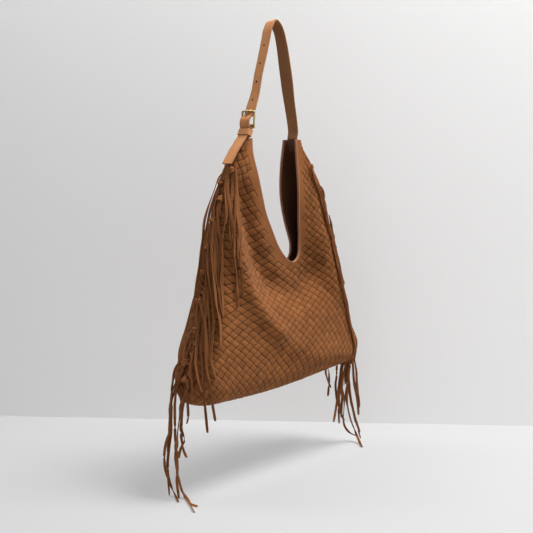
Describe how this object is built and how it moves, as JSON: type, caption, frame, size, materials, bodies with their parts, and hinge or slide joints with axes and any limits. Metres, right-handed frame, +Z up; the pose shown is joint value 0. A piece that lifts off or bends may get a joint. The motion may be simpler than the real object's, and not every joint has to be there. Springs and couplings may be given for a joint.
{
  "type": "fringed shoulder bag",
  "caption": "Slouchy hobo shoulder bag of diagonally woven tan suede, with knotted fringe down both side seams and a buckled leather strap, hung by its strap.",
  "frame": {"origin": "the underside of the shoulder strap at the top of its loop, where the bag hangs", "axes": "+Z is up, +X is the bag's right as seen from the front, and the front of the bag faces -Y; the width runs along X and the depth along Y"},
  "size_m": [0.4201, 0.0826, 0.7267],
  "materials": {
    "woven_suede": "napped suede, woven",
    "lining_suede": "smooth dark suede",
    "fringe_suede": "napped suede laces",
    "strap_leather": "satin leather",
    "buckle_brass": "antique satin"
  },
  "bodies": {
    "bag": {"front_panel": "woven_suede", "back_panel": "woven_suede", "front_lining": "lining_suede", "back_lining": "lining_suede", "shoulder_strap": "strap_leather", "chape": "strap_leather", "keeper": "strap_leather", "tassel_left_01": "fringe_suede", "tassel_left_02": "fringe_suede", "tassel_left_03": "fringe_suede", "tassel_left_04": "fringe_suede", "tassel_left_05": "fringe_suede", "tassel_left_06": "fringe_suede", "tassel_left_07": "fringe_suede", "tassel_left_08": "fringe_suede", "tassel_left_09": "fringe_suede", "tassel_left_10": "fringe_suede", "tassel_right_01": "fringe_suede", "tassel_right_02": "fringe_suede", "tassel_right_03": "fringe_suede", "tassel_right_04": "fringe_suede", "tassel_right_05": "fringe_suede", "tassel_right_06": "fringe_suede", "tassel_right_07": "fringe_suede", "tassel_right_08": "fringe_suede", "tassel_right_09": "fringe_suede", "tassel_right_10": "fringe_suede"},
    "buckle": {"buckle_frame": "buckle_brass"},
    "prong": {"buckle_prong": "buckle_brass"}
  },
  "joints": [
    {"name": "buckle_pivot", "type": "hinge", "parent": "bag", "child": "buckle", "pos_m": [-0.0555, 0, -0.1653], "axis": [0, -1, 0], "range_deg": [0, 30], "deforming": ["shoulder_strap"]},
    {"name": "prong_swing", "type": "hinge", "parent": "buckle", "child": "prong", "pos_m": [-0.0555, 0, -0.1653], "axis": [0, -1, 0], "range_deg": [0, 60], "deforming": ["shoulder_strap"]}
  ]
}
